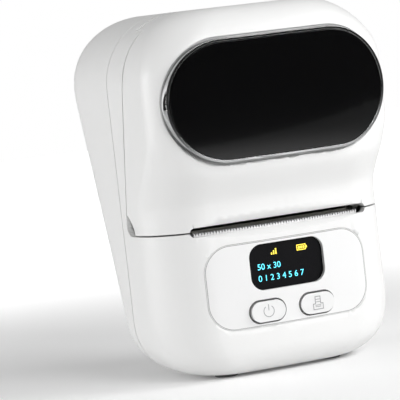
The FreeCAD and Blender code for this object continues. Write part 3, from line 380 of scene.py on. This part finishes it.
feed_sign = bmesh.new()
for x0, x1, z0, z1 in ((-0.95, 0.95, 1.75, 2.0), (-0.95, -0.7, -0.1, 1.75), (0.7, 0.95, -0.1, 1.75),
                       (-0.7, 0.7, 0.95, 1.15), (-0.7, 0.7, 0.2, 0.4), (-1.7, -0.7, -0.35, -0.1),
                       (0.7, 1.7, -0.35, -0.1), (-1.7, -1.45, -1.75, -0.35), (1.45, 1.7, -1.75, -0.35),
                       (-1.7, 1.7, -2.0, -1.75), (-0.95, 0.95, -1.2, -1.0), (-0.95, 0.95, -0.75, -0.55)):
    bar(feed_sign, x0 * MM, x1 * MM, z0 * MM, z1 * MM)
finish_piece(feed_sign, "feed_sign", button_front("feed_button") - Vector((0, SIGN_LIFT, 0)), sign_grey,
             "feed_button")
print("signs on the buttons")

# %% [markdown]
# The display glows through its smoked window. The content lies as thin plates a hair in front of it: two
# rows of plain numbers, a battery and a signal sign. Text is the quickest way to draw digits, and it
# becomes a mesh before it is turned upright and put in place.

# %% Display content
GLOW = 1.4
window_low, window_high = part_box("display_window")
SCREEN_FRONT = Vector((0, window_low[1] - SIGN_LIFT, (window_low[2] + window_high[2]) / 2))


def glow(name, colour):
    material = finish(name, colour, 0.5, 0.05, 400.0, 2000.0, 0.02)
    shader = material.node_tree.nodes["Principled BSDF"]
    shader.inputs["Emission Color"].default_value = (*colour, 1)
    shader.inputs["Emission Strength"].default_value = GLOW
    return material


cyan = glow("cyan_pixels", (0.10, 0.62, 0.80))
yellow = glow("yellow_pixels", (0.80, 0.62, 0.06))


def digits(text, name, x, z, size):
    curve = bpy.data.curves.new(name, "FONT")
    curve.body = text
    curve.size = size
    curve.align_x = "LEFT"
    holder = bpy.data.objects.new(name + "_curve", curve)
    bpy.context.scene.collection.objects.link(holder)
    bpy.context.view_layer.update()
    mesh = bpy.data.meshes.new_from_object(holder.evaluated_get(bpy.context.evaluated_depsgraph_get()))
    bpy.data.objects.remove(holder)
    shape = bmesh.new()
    shape.from_mesh(mesh)
    bmesh.ops.rotate(shape, verts=shape.verts, cent=(0, 0, 0), matrix=Matrix.Rotation(math.pi / 2, 3, "X"))
    front = bmesh.ops.extrude_face_region(shape, geom=shape.faces[:])["geom"]
    moved = [v for v in front if isinstance(v, bmesh.types.BMVert)]
    bmesh.ops.translate(shape, verts=moved, vec=(0, -SIGN_THICK, 0))
    return finish_piece(shape, name, SCREEN_FRONT + Vector((x, 0, z)), cyan, "housing")


digits("50 x 30", "display_row_1", -9.2 * MM, -0.9 * MM, 2.5 * MM)
digits("0 1 2 3 4 5 6 7", "display_row_2", -9.2 * MM, -4.3 * MM, 2.5 * MM)
battery = bmesh.new()
for x0, x1, z0, z1 in ((-1.5, 1.5, 0.62, 0.85), (-1.5, 1.5, -0.85, -0.62), (-1.5, -1.27, -0.62, 0.62),
                       (1.27, 1.5, -0.62, 0.62), (1.5, 1.85, -0.35, 0.35), (-1.0, -0.45, -0.4, 0.4),
                       (-0.25, 0.3, -0.4, 0.4), (0.5, 1.05, -0.4, 0.4)):
    bar(battery, x0 * MM, x1 * MM, z0 * MM, z1 * MM)
finish_piece(battery, "battery_sign", SCREEN_FRONT + Vector((5.6 * MM, 0, 3.9 * MM)), yellow, "housing")
link_sign = bmesh.new()
for step in range(3):
    tall = (0.6 + 0.55 * step) * MM
    bar(link_sign, (-0.9 + 0.7 * step) * MM, (-0.5 + 0.7 * step) * MM, -0.85 * MM, -0.85 * MM + tall)
finish_piece(link_sign, "link_sign", SCREEN_FRONT + Vector((-3.4 * MM, 0, 3.9 * MM)), yellow, "housing")
print("display content")

# %% [markdown]
# The printer stands on a pale floor in soft light. A key light from the right throws the shadow to the
# left, and three fills keep the white plastic from going grey. The backdrop is white for the camera
# alone. The floor ends in front of the printer, so the lower edge of the glass mirrors pale floor and
# the rest of it mirrors the dark room.

# %% Floor, light and world
FLOOR_SIZE = 2.6
NEAR_GLOW = 0.09
FAR_GLOW = 1.0
NEAR_RADIUS = 0.10
FAR_RADIUS = 0.45
floor_shape = bmesh.new()
bmesh.ops.create_grid(floor_shape, x_segments=1, y_segments=1, size=FLOOR_SIZE / 2)
floor_mesh = bpy.data.meshes.new("studio_floor")
floor_shape.to_mesh(floor_mesh)
floor_shape.free()
floor = bpy.data.objects.new("studio_floor", floor_mesh)
bpy.context.scene.collection.objects.link(floor)
floor_look = finish("pale_floor", (0.93, 0.93, 0.93), 0.8, 0.005, 3.0, 60.0, 0.0)
floor_mesh.materials.append(floor_look)


def white_to_the_eye(material):
    """Brings the floor to white for the camera, faintly near the printer and fully further out."""
    tree = material.node_tree
    place = tree.nodes.new("ShaderNodeTexCoord")
    away = tree.nodes.new("ShaderNodeVectorMath")
    away.operation = "LENGTH"
    tree.links.new(place.outputs["Object"], away.inputs[0])
    rise = tree.nodes.new("ShaderNodeMapRange")
    rise.interpolation_type = "SMOOTHSTEP"
    rise.inputs["From Min"].default_value = NEAR_RADIUS
    rise.inputs["From Max"].default_value = FAR_RADIUS
    rise.inputs["To Min"].default_value = NEAR_GLOW
    rise.inputs["To Max"].default_value = FAR_GLOW
    tree.links.new(away.outputs["Value"], rise.inputs["Value"])
    path = tree.nodes.new("ShaderNodeLightPath")
    strength = math_node(tree, "MULTIPLY", path.outputs["Is Camera Ray"], rise.outputs["Result"])
    shader = tree.nodes["Principled BSDF"]
    shader.inputs["Emission Color"].default_value = (1, 1, 1, 1)
    tree.links.new(strength, shader.inputs["Emission Strength"])


white_to_the_eye(floor_look)


def area_light(name, place, target, size, power):
    data = bpy.data.lights.new(name, "AREA")
    data.shape = "RECTANGLE"
    data.size = size[0]
    data.size_y = size[1]
    data.energy = power
    lamp = bpy.data.objects.new(name, data)
    bpy.context.scene.collection.objects.link(lamp)
    facing = (Vector(target) - Vector(place)).to_track_quat("-Z", "Y")
    lamp.matrix_world = Matrix.Translation(place) @ facing.to_matrix().to_4x4()
    return lamp


MIDDLE = (0, 0, 0.055)
area_light("key_light", (0.75, -0.55, 0.60), MIDDLE, (0.55, 0.55), 6.2)
area_light("front_fill", (0.20, -1.05, 0.55), MIDDLE, (0.6, 0.4), 5.9)
area_light("left_fill", (-1.0, 0.34, 0.20), MIDDLE, (0.5, 0.5), 6.6)
area_light("top_light", (0.0, 0.15, 1.0), MIDDLE, (0.7, 0.7), 0.8)

MIRROR_DIMMING = 0.88
ROOM_LEVEL = 0.22
world = bpy.data.worlds.new("studio_world")
bpy.context.scene.world = world
world.use_nodes = True
world_tree = world.node_tree
sky = world_tree.nodes["Background"]
world_path = world_tree.nodes.new("ShaderNodeLightPath")
sky_level = world_tree.nodes.new("ShaderNodeMapRange")
sky_level.inputs["To Min"].default_value = ROOM_LEVEL
sky_level.inputs["To Max"].default_value = 1.0
world_tree.links.new(world_path.outputs["Is Camera Ray"], sky_level.inputs["Value"])
dimmer = math_node(world_tree, "MULTIPLY", world_path.outputs["Is Glossy Ray"], MIRROR_DIMMING)
kept = math_node(world_tree, "SUBTRACT", 1.0, dimmer)
strength = math_node(world_tree, "MULTIPLY", sky_level.outputs["Result"], kept)
world_tree.links.new(strength, sky.inputs["Strength"])
sky.inputs["Color"].default_value = (1, 1, 1, 1)
bpy.context.scene.view_settings.view_transform = "Standard"
print("studio ready")

# %% [markdown]
# The photograph was taken from the printer's left, a little above the slot, with the camera tipped so
# that the printer leans. Three angles, the eye point and the lens were fitted to points on the outline
# and the front, and the camera's axes are built from the angles.

# %% Camera
SIDE_ANGLE = math.radians(23.58)
RISE_ANGLE = math.radians(4.36)
TIP_ANGLE = math.radians(-6.54)
EYE = Vector((-0.2990, -0.6588, 0.1059))
LENS = 215.6
SENSOR = 36.0
towards = Vector((-math.sin(SIDE_ANGLE) * math.cos(RISE_ANGLE), -math.cos(SIDE_ANGLE) * math.cos(RISE_ANGLE),
                  math.sin(RISE_ANGLE)))
level = Vector((math.cos(SIDE_ANGLE), -math.sin(SIDE_ANGLE), 0))
upright = towards.cross(level)
right = level * math.cos(TIP_ANGLE) + upright * math.sin(TIP_ANGLE)
up = upright * math.cos(TIP_ANGLE) - level * math.sin(TIP_ANGLE)
camera_data = bpy.data.cameras.new("photo_camera")
camera_data.sensor_width = SENSOR
camera_data.lens = LENS
camera = bpy.data.objects.new("photo_camera", camera_data)
bpy.context.scene.collection.objects.link(camera)
camera.matrix_world = Matrix.Translation(EYE) @ Matrix((right, up, towards)).transposed().to_4x4()
bpy.context.scene.camera = camera
print("camera at", list(EYE))
